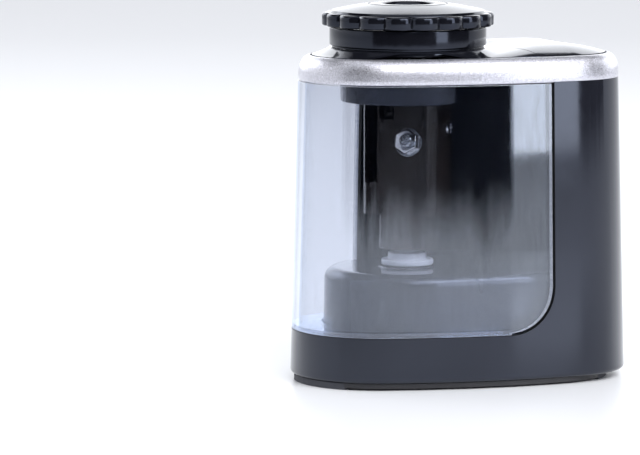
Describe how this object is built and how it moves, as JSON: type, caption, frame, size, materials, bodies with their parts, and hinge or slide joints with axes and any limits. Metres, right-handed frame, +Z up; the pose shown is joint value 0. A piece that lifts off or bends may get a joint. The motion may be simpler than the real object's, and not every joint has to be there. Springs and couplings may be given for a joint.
{
  "type": "electric pencil sharpener",
  "caption": "Battery pencil sharpener: upright oval body, slide-out clear shavings bin, scalloped dial over a motor-driven cutter, lift-off battery door.",
  "frame": {"origin": "centre of the footprint, at the undersides of the feet", "axes": "+X from the nose to the rear battery column, -Y the wide front face with the window, +Z up"},
  "size_m": [0.0859, 0.056, 0.096],
  "materials": {
    "black_gloss": "gloss",
    "base_black": "satin",
    "rubber_grey": "matte",
    "zinc": "polished",
    "platform_black": "gloss",
    "bronze": "satin",
    "shaft_steel": "ground",
    "acetal_ivory": "satin",
    "nylon_white": "satin",
    "motor_steel": "satin",
    "motor_cap_blue": "satin",
    "brass": "satin",
    "ceramic_orange": "satin",
    "cell_wrap": "gloss",
    "contact_metal": "polished",
    "silver_paint": "sparkle",
    "clear_bin": "gloss",
    "smoke_plastic": "gloss",
    "blade_steel": "ground",
    "switch_blue": "satin",
    "switch_red": "satin",
    "wire_red": "satin",
    "wire_black": "satin"
  },
  "bodies": {
    "base": {"housing": "black_gloss", "bottom_plate": "base_black", "foot_nose": "rubber_grey", "foot_near": "rubber_grey", "foot_far": "rubber_grey", "base_screw_1": "zinc", "base_screw_2": "zinc", "base_screw_3": "zinc", "gear_cover": "platform_black", "lower_bush": "bronze", "upper_bush": "bronze", "motor_cradle": "base_black", "motor_can": "motor_steel", "motor_end_cap": "motor_cap_blue", "motor_terminal_1": "brass", "motor_terminal_2": "brass", "suppressor": "ceramic_orange", "battery_tray": "base_black", "cell_1": "cell_wrap", "cell_2": "cell_wrap", "tray_spring": "contact_metal", "tray_plate": "contact_metal", "silver_band": "silver_paint", "top_cover": "black_gloss", "dial_collar": "black_gloss", "return_spring": "contact_metal", "start_switch": "switch_blue", "lead_red": "wire_red", "lead_black": "wire_black"},
    "output": {"output_shaft": "shaft_steel", "crown_gear": "acetal_ivory", "drive_coupling": "nylon_white"},
    "rotor": {"motor_shaft": "shaft_steel", "pinion": "brass"},
    "press": {"press_ring": "base_black"},
    "cutter": {"cutter_holder": "smoke_plastic", "blade": "blade_steel", "blade_screw": "zinc", "blade_nut": "zinc", "stop_screw": "zinc"},
    "plunger": {"switch_plunger": "switch_red"},
    "dial_group": {"dial": "black_gloss", "dial_cap": "black_gloss", "pencil_guide": "base_black"},
    "bin": {"shavings_bin": "clear_bin"},
    "door": {"battery_door": "black_gloss", "door_bridge": "contact_metal"}
  },
  "joints": [
    {"name": "press_slide", "type": "slide", "parent": "base", "child": "press", "axis": [0, 0, -1], "range_m": [0, 0.0012], "stiffness_N_per_m": 400, "springref_m": -0.003, "deforming": ["return_spring"]},
    {"name": "cutter_spin", "type": "hinge", "parent": "press", "child": "cutter", "pos_m": [-0.0125, 0, 0.06], "axis": [0, 0, 1], "continuous": true},
    {"name": "output_spin", "type": "hinge", "parent": "base", "child": "output", "pos_m": [-0.0125, 0, 0.02], "axis": [0, 0, 1], "continuous": true},
    {"name": "rotor_spin", "type": "hinge", "parent": "base", "child": "rotor", "pos_m": [0.02, 0, 0.0148], "axis": [1, 0, 0], "continuous": true},
    {"name": "plunger_slide", "type": "slide", "parent": "base", "child": "plunger", "axis": [0, 0, -1], "range_m": [0, 0.0012]},
    {"name": "dial_turn", "type": "hinge", "parent": "base", "child": "dial_group", "pos_m": [-0.0125, 0, 0.09], "axis": [0, 0, 1], "range_deg": [0, 160]},
    {"name": "bin_slide", "type": "slide", "parent": "base", "child": "bin", "axis": [-1, 0, 0], "range_m": [0, 0.07]},
    {"name": "door_lift", "type": "slide", "parent": "base", "child": "door", "axis": [0, 0, 1], "range_m": [0, 0.03]}
  ],
  "couplings": [
    {"joint": "output_spin", "follows": "cutter_spin", "ratio": 1},
    {"joint": "rotor_spin", "follows": "cutter_spin", "ratio": -6},
    {"joint": "plunger_slide", "follows": "press_slide", "ratio": 1}
  ]
}
